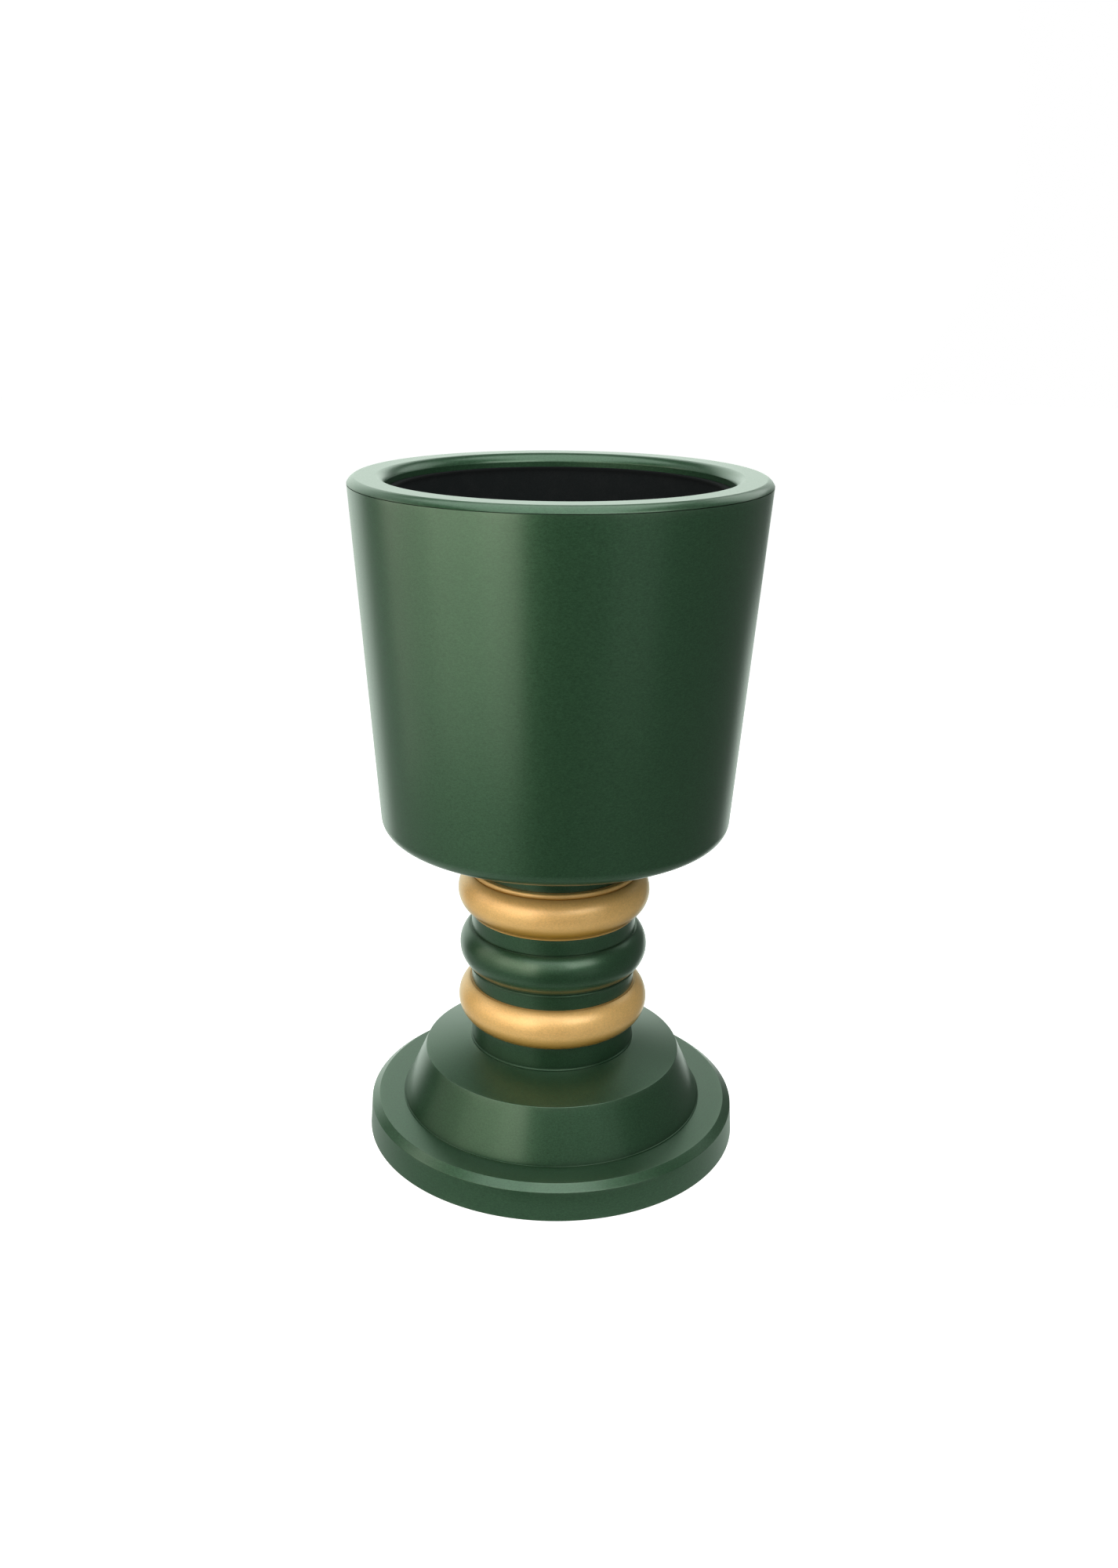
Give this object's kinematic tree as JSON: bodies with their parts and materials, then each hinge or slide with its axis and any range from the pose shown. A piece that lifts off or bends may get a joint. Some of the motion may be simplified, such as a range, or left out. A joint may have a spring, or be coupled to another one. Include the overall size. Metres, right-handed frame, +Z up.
{
  "type": "goblet planter",
  "caption": "Goblet-shaped pedestal planter for a street or terrace, with a round stepped foot, a beaded stem, a tapered bowl and a lift-out liner with folding handles.",
  "frame": {"origin": "on the ground, at the middle of the foot", "axes": "+Z up along the axis of the foot, stem and bowl; -Y is the front; the liner's handles are on the +X and -X sides"},
  "size_m": [0.5787, 0.5788, 1],
  "materials": {
    "green_paint": "satin dark green metallic paint with a fine turned grain",
    "gold": "satin gold, finely turned",
    "galvanised_steel": "galvanised, dull",
    "rubber": "matt black",
    "drain_plastic": "matt grey moulded",
    "liner_plastic": "matt black moulded, fine grain",
    "grip_plastic": "matt black, ribbed",
    "ballast_iron": "raw casting"
  },
  "bodies": {
    "stand_and_bowl": {"foot_plinth": "green_paint", "base_cone": "green_paint", "neck_base_sleeve": "green_paint", "lower_neck_sleeve": "green_paint", "middle_ring": "green_paint", "upper_neck_sleeve": "green_paint", "top_neck_sleeve": "green_paint", "bowl_saddle": "green_paint", "bowl_shell": "green_paint", "rim_ring": "green_paint", "lower_gold_ring": "gold", "upper_gold_ring": "gold", "base_plate": "galvanised_steel", "stem_tube": "galvanised_steel", "stem_gussets": "galvanised_steel", "stem_head_ring": "galvanised_steel", "bowl_floor_plate": "galvanised_steel", "bowl_bolts": "galvanised_steel", "bowl_washers": "galvanised_steel", "liner_seat_ring": "galvanised_steel", "foot_pads": "rubber", "saddle_gasket": "rubber", "liner_seat_gasket": "rubber", "drain_gasket": "rubber", "drain_body": "drain_plastic", "drain_nut": "drain_plastic", "drain_strainer": "drain_plastic", "drain_pipe": "drain_plastic", "ballast_ring": "ballast_iron"},
    "liner": {"liner_pot": "liner_plastic", "drainage_grid": "liner_plastic", "handle_brackets": "liner_plastic", "bracket_screws": "galvanised_steel"},
    "right_handle": {"right_handle_bail": "galvanised_steel", "right_handle_grip": "grip_plastic"},
    "left_handle": {"left_handle_bail": "galvanised_steel", "left_handle_grip": "grip_plastic"}
  },
  "joints": [
    {"name": "liner_lift", "type": "slide", "parent": "stand_and_bowl", "child": "liner", "axis": [0, 0, 1], "range_m": [0, 0.45]},
    {"name": "right_handle_fold", "type": "hinge", "parent": "liner", "child": "right_handle", "pos_m": [0.2, 0, 0.945], "axis": [0, 1, 0], "range_deg": [-4, 170]},
    {"name": "left_handle_fold", "type": "hinge", "parent": "liner", "child": "left_handle", "pos_m": [-0.2, 0, 0.945], "axis": [0, -1, 0], "range_deg": [-4, 170]}
  ]
}
